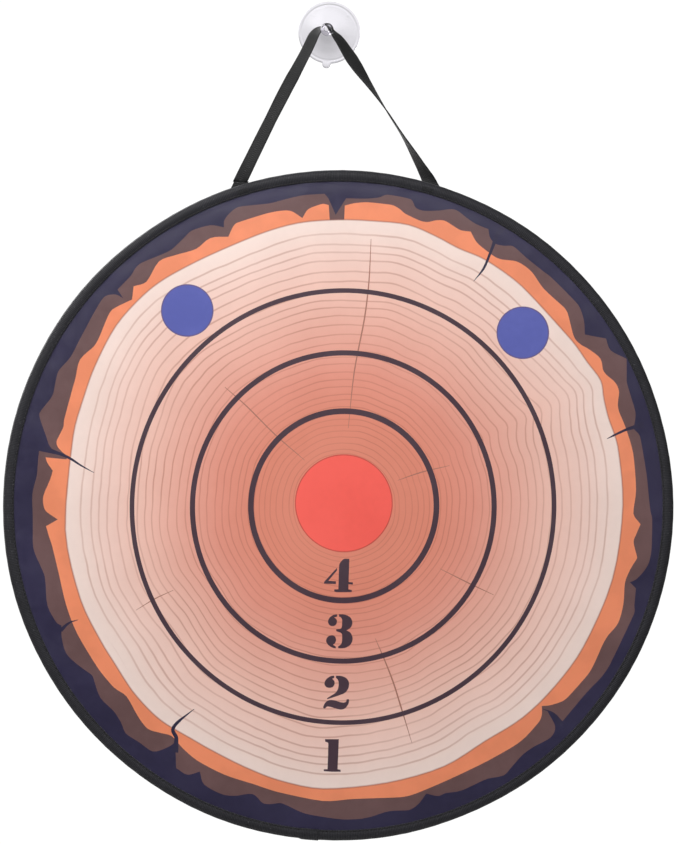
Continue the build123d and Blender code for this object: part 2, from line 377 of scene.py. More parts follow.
def weave_group() -> bpy.types.NodeTree:
    """Crossing threads.

    Height is 0.5 + 0.5 sin(2 pi x along) cos(2 pi y across), with along and across in threads per
    metre, unevened by a fine noise, so that 0 threads across leaves plain ribs. Shade goes from 0.72 on the
    low threads to 1 on the high ones: painted shade between the threads.
    """
    ins = ["Threads Along", "Threads Across", "Uneven"]
    tree, given = effect_group(Effect.WEAVE, ins, ["Height", "Shade"])
    parts = tree.node("ShaderNodeSeparateXYZ", {"Vector": given["Vector"]}).outputs
    wobble = tree.math("MULTIPLY", tree.noise(given["Vector"], 260.0, 2.0), given["Uneven"])
    along = tree.math("MULTIPLY", parts["X"], given["Threads Along"])
    along = tree.math("MULTIPLY", tree.math("ADD", along, wobble), 2 * pi)
    across = tree.math("MULTIPLY", tree.math("MULTIPLY", parts["Y"], given["Threads Across"]), 2 * pi)
    product = tree.math("MULTIPLY", tree.math("SINE", along), tree.math("COSINE", across))
    height = tree.math("MULTIPLY_ADD", product, 0.5, 0.5)
    tree.node("NodeGroupOutput", {"Height": height, "Shade": tree.range(height, 0.0, 1.0, 0.72, 1.0)})
    return tree.tree


def mottle_group() -> bpy.types.NodeTree:
    """Slow and fine unevenness of a colour: 1 - amount, up to 1 + amount, from two sizes of noise."""
    tree, given = effect_group(Effect.MOTTLE, ["Scale", "Amount"], ["Factor", "Mask"])
    slow = tree.noise(given["Vector"], given["Scale"], 5.0)
    fine = tree.noise(given["Vector"], tree.math("MULTIPLY", given["Scale"], 9.0), 2.0)
    mask = tree.range(tree.math("ADD", slow, tree.math("MULTIPLY", fine, 0.5)), 0.45, 1.05, 0.0, 1.0)
    factor = tree.math("MULTIPLY_ADD", tree.swing(mask, given["Amount"]), 2.0, 1.0)
    tree.node("NodeGroupOutput", {"Factor": factor, "Mask": mask})
    return tree.tree


EFFECTS = {Effect.WEAVE: weave_group(), Effect.MOTTLE: mottle_group()}


class Surface(Tree):
    """A material's tree with its Principled shader, and the shared effects to place in it."""

    def __init__(self, name: str, constants: dict[str, object]) -> None:
        """Makes the material and sets what is the same all over it."""
        self.material = bpy.data.materials.new(name)
        self.material.use_nodes = True
        super().__init__(self.material.node_tree)
        self.shader = self.node("ShaderNodeBsdfPrincipled", constants)
        self.node("ShaderNodeOutputMaterial", {"Surface": self.shader.outputs[0]})
        self.spot = self.node("ShaderNodeTexCoord").outputs["Object"]

    def attribute(self, name: str) -> Socket:
        """A number that the piece holds at each of its points."""
        return self.node("ShaderNodeAttribute", attribute_name=name).outputs["Fac"]

    def effect(self, effect: Effect, **inputs: object) -> dict[str, Socket]:
        """Places a shared effect with its own values. Returns its outputs by name."""
        made = self.node("ShaderNodeGroup", node_tree=EFFECTS[effect])
        for key, value in inputs.items():
            self.feed(made.inputs[key.replace("_", " ")], value)
        return {s.name: s for s in made.outputs}

    def paint(self, colour: object, roughness: Socket) -> None:
        """Feeds the shader's colour and roughness."""
        self.feed(self.shader.inputs["Base Color"], colour)
        self.feed(self.shader.inputs["Roughness"], roughness)

    def relief(self, height: Socket, depth: float, strength: float = 1.0) -> None:
        """Raises the surface by that height, in metres from 0 to 1 of it."""
        bump = self.node("ShaderNodeBump", {"Height": height, "Distance": depth, "Strength": strength})
        self.feed(self.shader.inputs["Normal"], bump.outputs["Normal"])


# ---- finishes ----

# the thin line between the wood and the bark
BARK_EDGE: Colour = (150, 88, 74)


@dataclass(frozen=True)
class PrintInk:
    """One flat colour printed on the stretched polyester."""

    name: str
    colour: Colour
    uneven: float = 0.05
    threads: float = 900.0

    def material(self) -> bpy.types.Material:
        """The ink over the printed cloth's fine weave, with painted shade between its threads, and satin
        gloss.
        """
        made = Surface(self.name, {"Roughness": 0.42, "Specular IOR Level": 0.85})
        turned = made.node("ShaderNodeMapping", {"Vector": made.spot, "Rotation": (radians(90), 0.0, 0.0)})
        crossed = {"Threads_Along": self.threads, "Threads_Across": self.threads}
        weave = made.effect(Effect.WEAVE, Vector=turned.outputs["Vector"], **crossed, Uneven=0.3)
        mottle = made.effect(Effect.MOTTLE, Vector=made.spot, Scale=22.0, Amount=self.uneven)
        # painted shade: the weave's Shade darkens the low threads by a share of 0.12; the mottle is the
        # ink's random tone
        shade = made.times(made.times(ink(255, 255, 255), weave["Shade"], 0.12), mottle["Factor"])
        rough = made.range(mottle["Mask"], 0.0, 1.0, 0.39, 0.47)
        made.paint(made.times(self.colour_of(made), shade), rough)
        made.relief(weave["Height"], 0.00006, 0.6)
        return made.material

    def colour_of(self, made: Surface) -> object:
        """The ink before the painted shade between the threads and the random mottle."""
        return ink(*self.colour)


@dataclass(frozen=True)
class WoodInk(PrintInk):
    """The sawn wood: a colour that pales from the heart outwards, crossed by thin growth lines.

    The lines are the edges between cells of a count that grows with the growth radius r as
    rate x ln(1 + r / slowing), so that they stand further apart towards the bark.
    """

    slowing: float = 133.0 * MM
    rate: float = 43.3
    reach: float = 213.0 * MM
    stops: tuple = (
        (0.00, (228, 136, 112)), (0.30, (227, 138, 114)), (0.45, (231, 150, 130)), (0.62, (238, 177, 160)),
        (0.74, (243, 196, 181)), (0.86, (246, 210, 198)), (0.95, (246, 221, 211)), (1.00, (246, 224, 215)),
    )

    def colour_of(self, made: Surface) -> Socket:
        """The heart-to-bark run of colour, darker on the growth lines and along the bark."""
        gap = made.attribute("bark_gap")
        drift = made.swing(made.noise(made.spot, 9.0), 0.006)
        ripple = made.swing(made.noise(made.spot, 30.0, 2.0), 0.0035)
        radius = made.math("ADD", made.math("ADD", made.attribute("growth"), drift), ripple)
        body = made.ramp(made.math("DIVIDE", radius, self.reach), self.stops)
        slowed = made.math("ADD", made.math("DIVIDE", radius, self.slowing), 1.0)
        count = made.math("MULTIPLY", made.math("LOGARITHM", slowed, e), self.rate)
        inputs = {"W": count, "Scale": 1.0, "Randomness": 0.75}
        kind = {"voronoi_dimensions": "1D", "feature": "DISTANCE_TO_EDGE"}
        cells = made.node("ShaderNodeTexVoronoi", inputs, **kind).outputs["Distance"]
        line = made.range(cells, 0.03, 0.13, 1.0, 0.0)
        for fade in (
            made.range(radius, 0.09, 0.15, 0.4, 0.56),
            made.range(made.noise(made.spot, 16.0, 2.0), 0.36, 0.62, 0.65, 1.0),
            made.range(gap, -0.0072, -0.005, 1.0, 0.0),
        ):
            line = made.math("MULTIPLY", line, fade)
        body = made.mix(line, body, made.times(body, ink(196, 160, 148)))
        edge = made.range(made.math("ABSOLUTE", gap), 0.0001, 0.0010, 0.55, 0.0)
        return made.mix(edge, body, ink(*BARK_EDGE))


@dataclass(frozen=True)
class BarkInk(PrintInk):
    """A bark layer: flat, with a thin dark line where it meets the wood."""

    def colour_of(self, made: Surface) -> Socket:
        """The layer's colour, patchy by a slow noise."""
        line = made.range(made.attribute("bark_gap"), 0.0001, 0.0011, 0.6, 0.0)
        patch = made.range(made.noise(made.spot, 34.0, 4.0), 0.4, 0.62, 0.95, 1.03)
        return made.mix(line, made.times(ink(*self.colour), patch), ink(*BARK_EDGE))


@dataclass(frozen=True)
class Ribbed:
    """Woven narrow cloth: grosgrain or webbing, whose weave follows its own map."""

    name: str
    colour: Colour
    along: float
    across: float
    relief: float
    roughness: float = 0.62
    # the paler colour of the painted highlight on the rib crowns
    crown_highlight: Colour = (56, 56, 62)

    def material(self) -> bpy.types.Material:
        """Dark yarn with a painted highlight on the crowns of its ribs, and a little lint."""
        constants = {"Roughness": self.roughness, "Specular IOR Level": 0.3, "Sheen Weight": 0.12}
        made = Surface(self.name, constants)
        cloth = made.node("ShaderNodeUVMap", uv_map="Cloth").outputs["UV"]
        crossed = {"Threads_Along": self.along, "Threads_Across": self.across}
        weave = made.effect(Effect.WEAVE, Vector=cloth, **crossed, Uneven=0.12)
        mottle = made.effect(Effect.MOTTLE, Vector=made.spot, Scale=60.0, Amount=0.22)
        # painted highlight: the raised crowns of the ribs are mixed towards a paler colour
        crown = made.range(weave["Height"], 0.3, 1.0, 0.05, 0.42)
        colour = made.times(made.mix(crown, ink(*self.colour), ink(*self.crown_highlight)), mottle["Factor"])
        lint = made.range(made.noise(made.spot, 900.0, 1.0), 0.7, 0.76, 0.0, 0.25)
        rough = made.range(weave["Height"], 0.0, 1.0, self.roughness + 0.1, self.roughness - 0.08)
        made.paint(made.mix(lint, colour, ink(120, 120, 124)), rough)
        made.relief(weave["Height"], self.relief)
        return made.material


@dataclass(frozen=True)
class Vinyl:
    """Clear soft plastic, faintly hazy."""

    name: str
    colour: Colour = (240, 238, 244)

    def material(self) -> bpy.types.Material:
        """Glass-like with an uneven gloss and slight moulding waves."""
        made = Surface(self.name, {"IOR": 1.2, "Transmission Weight": 1.0, "Roughness": 0.18})
        mottle = made.effect(Effect.MOTTLE, Vector=made.spot, Scale=70.0, Amount=0.02)
        rough = made.range(mottle["Mask"], 0.0, 1.0, 0.15, 0.24)
        made.paint(made.times(ink(*self.colour), mottle["Factor"]), rough)
        made.relief(made.noise(made.spot, 240.0, 2.0), 0.00012, 0.5)
        return made.material


@dataclass(frozen=True)
class Matted:
    """Felt, foam, thread, board or film: a dull sheet with fibres or cells of one size."""

    name: str
    colour: Colour
    cells: float
    relief: float
    roughness: float = 0.9
    metallic: float = 0.0
    mottled: float = 0.14
    glow: float = 0.0

    def material(self) -> bpy.types.Material:
        """Two sizes of noise in colour and relief, rounder pits between with painted shade in their hollows
        and a painted highlight on the rims between, and a glow to look at only.
        """
        constants = {"Metallic": self.metallic, "Roughness": self.roughness, "Emission Strength": self.glow}
        made = Surface(self.name, constants)
        mottle = made.effect(Effect.MOTTLE, Vector=made.spot, Scale=self.cells / 12, Amount=self.mottled)
        pits = made.node("ShaderNodeTexVoronoi", {"Vector": made.spot, "Scale": self.cells}).outputs[0]
        colour = made.times(ink(*self.colour), mottle["Factor"])
        low, high = self.roughness - 0.08, min(1.0, self.roughness + 0.06)
        rough = made.range(mottle["Mask"], 0.0, 1.0, low, high)
        # painted shade and highlight: darker at the bottom of each pit of the relief, a little lighter on
        # the rims between
        made.paint(made.times(colour, made.range(pits, 0.1, 0.8, 0.82, 1.1)), rough)
        made.relief(made.math("ADD", pits, mottle["Mask"]), self.relief)
        if self.glow:
            seen = made.node("ShaderNodeLightPath").outputs["Is Camera Ray"]
            glow = made.mix(seen, ink(0, 0, 0), ink(*self.colour))
            made.feed(made.shader.inputs["Emission Color"], glow)
        return made.material


def dress(pieces: list[Piece], finish: PrintInk | Ribbed | Vinyl | Matted) -> list[Piece]:
    """Gives every piece that finish and no other."""
    made = finish.material()
    for piece in pieces:
        piece.data.materials.clear()
        piece.data.materials.append(made)
    return pieces


# ---- the printed face ----

# the bark's outer edge, navy outside and brown inside: (angle clockwise from the top, radius)
OUTER_BARK: Points = [
    (1.5, 229.5), (5, 230), (7.5, 232), (9, 235), (13.3, 235), (14.5, 230), (15.7, 229), (17, 230),
    (19, 233), (21.5, 237.5), (24, 235.3), (26, 234), (28.5, 234.8), (29.5, 230), (30.9, 228), (32.5, 230),
    (34, 233.5), (37, 232.3), (41, 232.3), (43, 233), (50, 233.5), (53, 229.5), (55.2, 224), (56.5, 229),
    (58, 235.5), (60.3, 234), (63, 241.5), (65.5, 236.5), (67, 234), (72.5, 232.5), (74.7, 229),
    (75.5, 228), (77, 231), (84, 231.2), (89, 232), (91, 233), (92.5, 234.5), (98, 236), (101, 235),
    (103.7, 229.5), (104.7, 225), (105.5, 230.5), (108.5, 233), (110, 235), (120, 234.7), (123, 234.3),
    (127, 231.8), (133.8, 232), (134.4, 218), (135.5, 231), (137.5, 234.5), (141, 231.5), (143.5, 231.2),
    (146.5, 234), (148.5, 236), (151.5, 232), (156.5, 231.5), (159.5, 228.8), (161, 229), (163, 224.5),
    (165, 230.5), (167, 233), (170.5, 231), (174, 233.3), (176.5, 234.2), (180, 233.7), (186, 231),
    (189.5, 227), (191, 226), (194, 229), (196.5, 224.3), (199.5, 229.5), (202, 232), (205.7, 230.7),
    (207.5, 223.5), (209.3, 230), (211.7, 230), (213.3, 221), (214.5, 214), (215.3, 221), (217, 229.5),
    (220, 230.5), (223, 232.2), (225, 229), (227.5, 227), (231, 228), (234, 224.5), (235.5, 223),
    (238.5, 227.5), (241.5, 230.8), (244.5, 228.5), (246.6, 225), (247.5, 227.5), (251, 229.3), (255, 226),
    (257, 225.3), (261, 229), (263, 229.5), (268, 228), (272.2, 228.3), (275.8, 226), (279, 226.6),
    (280.4, 226.8), (280.3, 212), (281.6, 219.5), (283.4, 224), (286, 231), (287.3, 233.3), (290, 229.5),
    (291.5, 228.5), (294.5, 231), (296, 231.5), (299, 228.5), (302, 229), (308, 232), (311.7, 234),
    (313.5, 229), (314, 223), (314.4, 230.5), (318, 231), (319.5, 233), (321, 233.2), (325, 229),
    (327, 228), (330, 230.5), (332, 232.5), (335.5, 230), (337.7, 224.5), (338.2, 229), (339.5, 232.5),
    (341.5, 235), (345, 232.5), (347.5, 231.3), (353, 233), (357.5, 233), (358.2, 229), (359.5, 217),
]

# the bark's inner edge, brown outside and orange inside
INNER_BARK: Points = [
    (1.2, 213), (1.25, 224), (3, 226), (5.5, 227.5), (10, 228), (11.5, 226.5), (13, 223.5), (16, 221.3),
    (17.5, 222), (19, 225.3), (20.5, 227), (22.5, 225.7), (24, 225), (25.8, 227.2), (27.5, 222.5),
    (29, 220.8), (32, 219.5), (33.5, 220.5), (36, 225.5), (38, 226.7), (40, 226.2), (43.5, 223),
    (48.5, 224.2), (50, 223.5), (53.5, 217.5), (55, 216.2), (56.5, 217.5), (58, 220.5), (60.7, 224.3),
    (63.2, 222), (65.5, 225.5), (66.7, 226.6), (68, 226), (70, 222), (71.5, 221), (75, 222.3), (80, 223.5),
    (87, 222.5), (91.5, 220.3), (93.5, 226), (95.5, 223.3), (97, 222), (99.3, 225.5), (100, 226.3),
    (102.3, 223), (105, 221.5), (109, 225), (112.7, 226.4), (115.5, 223.5), (117.5, 222.8), (121.5, 224.3),
    (124, 224.8), (129, 223.2), (131, 222), (133.3, 217), (134.5, 213), (135.7, 217.5), (137, 220),
    (141, 222), (144, 222), (150, 220.5), (158, 220.3), (165, 222.4), (168, 222.3), (177, 219),
    (183, 220.5), (192, 218.2), (197, 217), (203, 217.8), (209, 217.2), (212.5, 215), (214, 213.5),
    (216, 212), (218, 215), (220.5, 218.7), (223.5, 216.8), (228, 212.5), (231, 215.3), (236, 216.3),
    (244, 216.8), (250, 216), (256, 214.5), (262, 215.5), (264, 217), (266, 218.5), (267.2, 209.5),
    (268.8, 217.5), (270, 219.8), (272, 220), (275, 216), (277, 214.5), (278.4, 219.3), (279.4, 221.3),
    (279.7, 205.6), (280.4, 205.4), (281.1, 210.1), (282, 214.2), (283.1, 215.5), (285.9, 213.3),
    (287.5, 214.3), (293, 216.2), (296, 218), (299.5, 221.3), (303, 217.7), (305, 218), (309, 222),
    (311, 223.2), (314, 219), (315, 217.5), (317, 223.8), (319.5, 220), (323.7, 226), (327, 223),
    (331, 219), (334.5, 221.3), (337.8, 216.8), (339.2, 222), (340.3, 224.2), (346, 224.5), (349, 224.2),
    (351, 222.5), (352.9, 216.3), (354.3, 222.5), (357, 225.5), (358.2, 224.5), (358.3, 213),
]

# the wood's edge, orange outside
WOOD_EDGE: Points = [
    (0, 213.3), (7, 214), (14, 216), (20, 213.8), (25, 212), (31, 213.8), (40, 213.5), (55, 213.5),
    (60, 214.5), (64.5, 217), (68, 213.7), (72, 212), (78, 213.2), (90, 212.3), (105, 211.8), (120, 211),
    (130, 210.3), (139, 209.5), (148, 206.9), (158, 209.8), (170, 209.8), (183, 211.4), (192, 209.5),
    (200, 206.8), (208, 205.3), (212, 205.3), (218, 207.2), (222, 207.6), (228, 206.5), (235, 204),
    (240, 203.8), (250, 204.5), (265, 204.3), (285, 204.5), (293, 206.3), (300, 209.3), (309, 213.3),
    (317, 214), (323, 213), (332, 210.2), (344, 211), (352, 213),
]

# dark cracks from the bark into the wood: the middle line, and its width at each point
CRACKS: list[tuple[Points, list[float]]] = [
    (
        [
            (-219, 43.5), (-214, 41.2), (-209, 39.3), (-200.6, 35.7), (-192.2, 30.3), (-182, 24.6),
        ],
        [3.0, 2.6, 2.3, 1.9, 1.3, 0.3],
    ),
    ([(124, 209), (119, 203), (114, 190), (108.5, 177), (101, 167.5)], [6.5, 3.4, 2.0, 1.7, 0.3]),
    ([(228, 60.5), (220.9, 58.7), (214.3, 56.6), (205, 52.2), (200.4, 49.9)], [4.5, 2.8, 1.9, 1.4, 0.3]),
    ([(-207, -93), (-201, -87.5), (-194, -85)], [3.0, 1.5, 0.3]),
    (
        [
            (-121.5, -184), (-120.9, -177.5), (-120.9, -172.5), (-123.4, -166.8), (-119, -160.8),
            (-107.4, -151.6),
        ],
        [4.6, 3.4, 2.9, 2.7, 2.2, 0.4],
    ),
    ([(166, -163), (160.5, -155), (152.5, -151.5)], [5.0, 1.6, 0.3]),
]

# fine checks in the wood
CHECKS: list[tuple[Points, list[float]]] = [
    ([(24.5, 199), (23, 168), (19.5, 139), (12, 100), (7.5, 58)], [0.4, 0.9, 1.1, 0.9, 0.3]),
    ([(-84.5, 88.5), (-68, 74), (-47, 53), (-25, 34)], [0.4, 0.9, 0.9, 0.3]),
    ([(44.5, 19), (62, 25), (83, 30)], [0.3, 0.9, 0.3]),
    ([(-151, -78), (-137, -69.5), (-123, -63)], [0.3, 0.8, 0.3]),
    ([(76, -47), (98, -58), (116, -66.5)], [0.3, 0.9, 0.3]),
    ([(27.7, -99), (34.4, -114.6), (41, -131.5), (46.8, -150), (55, -177)], [0.3, 0.9, 1.1, 1.1, 0.3]),
]

# the score numerals, each from its own middle
FOUR: list[Points] = [
    [
        (7.8, 12.7), (4.0, 12.7), (1.6, 10.7), (0.2, 8.1), (-0.4, -10.0), (-3.4, -10.1), (-3.5, -11.6),
        (-1.4, -12.1), (6.8, -12.1), (9.6, -12.0), (9.7, -10.5), (7.1, -10.0), (7.2, -6.3), (10.4, -6.5),
        (10.4, -4.8), (7.3, -4.6),
    ],
    [
        (-1.5, 6.0), (-10.9, -4.4), (-11.0, -5.8), (-2.2, -6.1), (-2.2, -4.0), (-7.8, -3.6), (-1.5, 4.0),
    ],
]
THREE: list[Points] = [
    [
        (-0.7, 13.2), (2.3, 13.1), (5.3, 12.4), (8.0, 10.5), (9.2, 7.8), (9.0, 5.1), (7.5, 2.7), (4.8, 1.2),
        (7.7, -0.5), (9.2, -3.4), (9.3, -6.4), (7.9, -9.4), (5.3, -11.4), (1.9, -12.2), (-1.4, -12.2),
        (-1.4, -10.8), (0.5, -9.5), (1.5, -7.2), (1.6, -2.3), (0.7, -0.7), (-2.8, 0.6), (-2.8, 2.0),
        (-0.2, 2.2), (1.3, 3.3), (1.6, 5.9), (1.6, 9.2), (0.7, 10.9), (-0.7, 11.5),
    ],
    [
        (-2.1, 13.2), (-4.8, 12.7), (-7.4, 11.0), (-8.7, 8.7), (-8.8, 6.9), (-7.7, 5.0), (-5.6, 4.3),
        (-3.4, 5.0), (-2.2, 7.2), (-2.6, 9.4), (-4.3, 10.8), (-2.1, 11.4),
    ],
    [
        (-6.4, -2.5), (-8.9, -3.4), (-10.2, -5.6), (-10.0, -7.9), (-8.3, -10.1), (-5.9, -11.6),
        (-3.1, -12.3), (-3.1, -11.0), (-5.1, -9.5), (-3.7, -8.3), (-2.9, -6.0), (-3.5, -3.8), (-4.8, -2.7),
    ],
]
TWO: list[Points] = [
    [
        (-2.1, 12.2), (-4.8, 11.7), (-7.5, 10.0), (-9.2, 7.5), (-9.2, 5.3), (-7.8, 3.6), (-5.5, 3.1),
        (-3.1, 3.8), (-1.8, 6.0), (-2.1, 8.3), (-3.6, 9.8), (-2.1, 10.5),
    ],
    [
        (-0.8, 12.1), (3.0, 12.0), (6.4, 10.7), (8.5, 8.3), (9.0, 5.4), (8.1, 2.0), (5.8, -0.7),
        (2.6, -2.1), (-0.7, -3.3), (-7.2, -5.4), (-7.5, -4.7), (-4.5, -2.8), (-1.6, -1.0), (0.3, 1.3),
        (1.2, 4.5), (1.2, 7.5), (0.4, 9.5), (-0.8, 10.5),
    ],
    [
        (-10.3, -11.2), (-9.4, -9.0), (-7.6, -6.9), (-5.0, -6.0), (-1.6, -6.3), (2.2, -7.5), (5.1, -7.9),
        (6.9, -7.2), (7.2, -5.4), (8.9, -5.4), (9.0, -7.1), (8.1, -9.7), (6.0, -12.2), (3.1, -13.1),
        (-0.4, -12.5), (-4.5, -11.2), (-7.3, -10.9), (-8.8, -12.2), (-10.0, -12.3),
    ],
]
ONE: list[Points] = [
    [
        (-6.0, 11.8), (4.4, 11.8), (4.0, 2.2), (3.4, -10.6), (5.7, -11.1), (5.7, -12.5), (-0.7, -12.5),
        (-6.9, -12.1), (-6.9, -10.7), (-4.1, -10.6), (-3.7, -0.7), (-3.5, 8.5), (-4.3, 9.5), (-5.7, 9.8),
    ],
]
NUMERALS = (((0.5, -52.3), FOUR), ((1.3, -94.1), THREE), ((-0.9, -138.9), TWO), ((-3.9, -185.9), ONE))


class Layer(Enum):
    """What is printed where; the value is the material slot."""

    OUTER_BARK = 0
    INNER_BARK = 1
    ORANGE = 2
    WOOD = 3
    LINE = 4
    BULL = 5
    BULL_EDGE = 6
    DOT = 7
    CHECK = 8
    CRACK = 9
    DOT_EDGE = 10


@dataclass(frozen=True)
class ScoreRing:
    """A scoring line: an ellipse, a little off the target's middle."""

    middle: tuple[float, float]
    wide: float
    tall: float
    line: float
    lean: float = 5.0

    def edge(self, offset: float) -> np.ndarray:
        """The ellipse that far outside the line's middle: (a sin t, b cos t), turned by the lean."""
        t = np.radians(np.arange(0, FULL_TURN, 1.0))
        x, z = (self.wide + offset) * np.sin(t), (self.tall + offset) * np.cos(t)
        turn = radians(self.lean)
        flat = np.stack([x * cos(turn) + z * sin(turn), z * cos(turn) - x * sin(turn)], -1)
        return flat + self.middle


def bark_line(points: Points) -> np.ndarray:
    """A closed outline through points given as angle and radius."""
    angle, radius = np.array(points).T
    return smooth_line(polar(radius, angle), 4, True)


def crack_outline(middle: Points, widths: list[float]) -> np.ndarray:
    """A closed outline half the width each side of a smooth line through the middle's points."""
    line = smooth_line(middle, 4, False, 100.0)
    ahead = np.gradient(line, axis=0)
    ahead /= np.linalg.norm(ahead, axis=1)[:, None]
    width = np.interp(np.linspace(0, len(widths) - 1, len(line)), np.arange(len(widths)), widths)
    side = np.stack([-ahead[:, 1], ahead[:, 0]], -1) * width[:, None] / 2
    return np.vstack([line + side, (line - side)[::-1]])


def inside(points: np.ndarray, outline: np.ndarray) -> np.ndarray:
    """Whether a line to the right from each point crosses a closed outline an odd number of times."""
    found = np.zeros(len(points), bool)
    near = np.flatnonzero(((points > outline.min(0)) & (points < outline.max(0))).all(1))
    x0, z0 = outline.T
    x1, z1 = np.roll(outline, -1, 0).T
    rise = np.where(z1 == z0, 1e-12, z1 - z0)
    for part in np.array_split(near, 1 + len(near) * len(outline) // 4_000_000):
        x, z = points[part, 0, None], points[part, 1, None]
        crossing = ((z0 > z) != (z1 > z)) & (x < (x1 - x0) * (z - z0) / rise + x0)
        found[part] = crossing.sum(1) % 2 == 1
    return found


@dataclass
class PrintedFace:
    """The stretched printed cover: one sheet whose faces follow the print's outlines."""

    place: Place
    edge_radius: float = 246.5
    seam_radius: float = 241.0
    flat_radius: float = 236.0
    seam_dip: float = 0.3
    spacing: float = 4.0
    thickness: float = 0.5
    bull: tuple[float, float] = (4.2, 1.9)
    bull_radius: float = 36.5
    bull_edge: float = 0.8
    dot_radius: float = 19.6
    dot_edge: float = 0.9
    weld: float = 0.04

    rings = (
        ScoreRing((4.1, 0.0), 69.2, 70.6, 4.3),
        ScoreRing((3.8, -0.9), 112.5, 115.0, 3.9),
        ScoreRing((3.6, -0.6), 157.4, 161.2, 3.5),
    )
    dots = ((-112.6, 145.7), (137.7, 129.1))
    inks = (
        BarkInk("Navy bark ink", (27, 18, 60), 0.1),
        BarkInk("Brown bark ink", (103, 72, 72), 0.08),
        BarkInk("Orange bark ink", (243, 142, 100), 0.015),
        WoodInk("Sawn wood ink", (240, 200, 180), 0.02),
        PrintInk("Score line ink", (66, 42, 56), 0.06),
        PrintInk("Bull ink", (255, 96, 84), 0.03),
        PrintInk("Bull edge ink", (206, 74, 62), 0.03),
        PrintInk("Dot ink", (86, 94, 176), 0.06),
        PrintInk("Check ink", (172, 112, 94), 0.05),
        PrintInk("Crack ink", (29, 20, 57), 0.08),
        PrintInk("Dot edge ink", (98, 82, 136), 0.05),
    )

    def discs(self, middle: tuple[float, float], radius: float, edge: float, kinds: tuple) -> list:
        """A round patch over its slightly larger edge."""
        around = np.arange(0, FULL_TURN, 2.0)
        return [(kind, polar(r, around) + middle, None) for kind, r in zip(kinds, (radius, radius - edge))]

    def print_plan(self) -> list[tuple[Layer, np.ndarray, np.ndarray | None]]:
        """What is printed, from the bottom up: a layer, its outline, and a hole in it or None."""
        layers = ((Layer.INNER_BARK, OUTER_BARK), (Layer.ORANGE, INNER_BARK), (Layer.WOOD, WOOD_EDGE))
        plan = [(layer, bark_line(points), None) for layer, points in layers]
        plan += [(Layer.CHECK, crack_outline(*check), None) for check in CHECKS]
        plan += [(Layer.LINE, r.edge(r.line / 2), r.edge(-r.line / 2)) for r in self.rings]
        plan += self.discs(self.bull, self.bull_radius, self.bull_edge, (Layer.BULL_EDGE, Layer.BULL))
        for dot in self.dots:
            plan += self.discs(dot, self.dot_radius, self.dot_edge, (Layer.DOT_EDGE, Layer.DOT))
        plan += [(Layer.CRACK, crack_outline(*crack), None) for crack in CRACKS]
        for middle, outlines in NUMERALS:
            plan += [(Layer.LINE, smooth_line(o, 4, True) + middle, None) for o in outlines]
        return plan

    def filling(self) -> np.ndarray:
        """Points that fill the disc between the outlines: a triangular grid, and rings by the seam."""
        rows = np.arange(-self.edge_radius, self.edge_radius, self.spacing * 3**0.5 / 2)
        x, z = np.meshgrid(np.arange(-self.edge_radius, self.edge_radius, self.spacing), rows)
        x = x + (np.arange(len(rows)) % 2)[:, None] * self.spacing / 2
        grid = np.stack([x, z], -1).reshape(-1, 2)
        grid = grid[np.hypot(*grid.T) < self.flat_radius - 2]
        radii = [self.flat_radius, 238.0, 239.5, self.seam_radius, 243.5, self.edge_radius]
        return np.vstack([grid, *[polar(r, np.arange(0, FULL_TURN, 0.75)) for r in radii]])

    def growth(self, flat: np.ndarray) -> dict[str, np.ndarray]:
        """How far out in the tree each point is, and how far past the wood's edge, in metres.

        The growth radius is the radius less the wood edge's own swing about its mean, which counts
        fully by the bark and not at all at the heart, plus a dent at the lower left and less a
        bulge at the upper right, each a bell in angle and radius.
        """
        x, z = flat.T
        edge = bark_line(WOOD_EDGE)
        edge_angle = np.degrees(np.arctan2(*edge.T)) % FULL_TURN
        order = np.argsort(edge_angle)
        angle, radius = np.degrees(np.arctan2(x, z)) % FULL_TURN, np.hypot(x, z)
        rim = np.interp(angle, edge_angle[order], np.hypot(*edge.T)[order], period=FULL_TURN)
        centred = np.hypot(x - 4.0 * (1 - smoothstep(40, 190, radius)), z)
        dent = 6.5 * bell(angle, 231, 13) * bell(radius, 150, 42)
        bulge = 4.0 * bell(angle, 64, 6) * bell(radius, 175, 40)
        swell = centred - (rim - 210.0) * smoothstep(30, 195, radius) + dent - bulge
        return {"growth": swell * MM, "bark_gap": (radius - rim) * MM}

    def depth(self, flat: np.ndarray) -> np.ndarray:
        """The face's distance from the wall, in mm: a flat pad with slow waves, puckered by the seam."""
        x, z = flat.T
        radius, angle = np.hypot(x, z), np.arctan2(x, z)
        waves = 0.16 * np.sin(x / 47 + 0.6) * np.cos(z / 58 - 0.4) + 0.1 * np.sin((x + z) / 31)
        pucker = np.sin(41 * angle + 1.3 * np.sin(7 * angle)) + 0.6 * np.sin(67 * angle + 2)
        pucker = 0.09 * pucker * smoothstep(222, 239, radius) * (1 - smoothstep(241, 243, radius))
        dip = self.seam_dip * smoothstep(self.flat_radius - 3, self.seam_radius, radius)
        return self.place.face_depth / MM + waves * (1 - smoothstep(205, 236, radius)) + pucker - dip

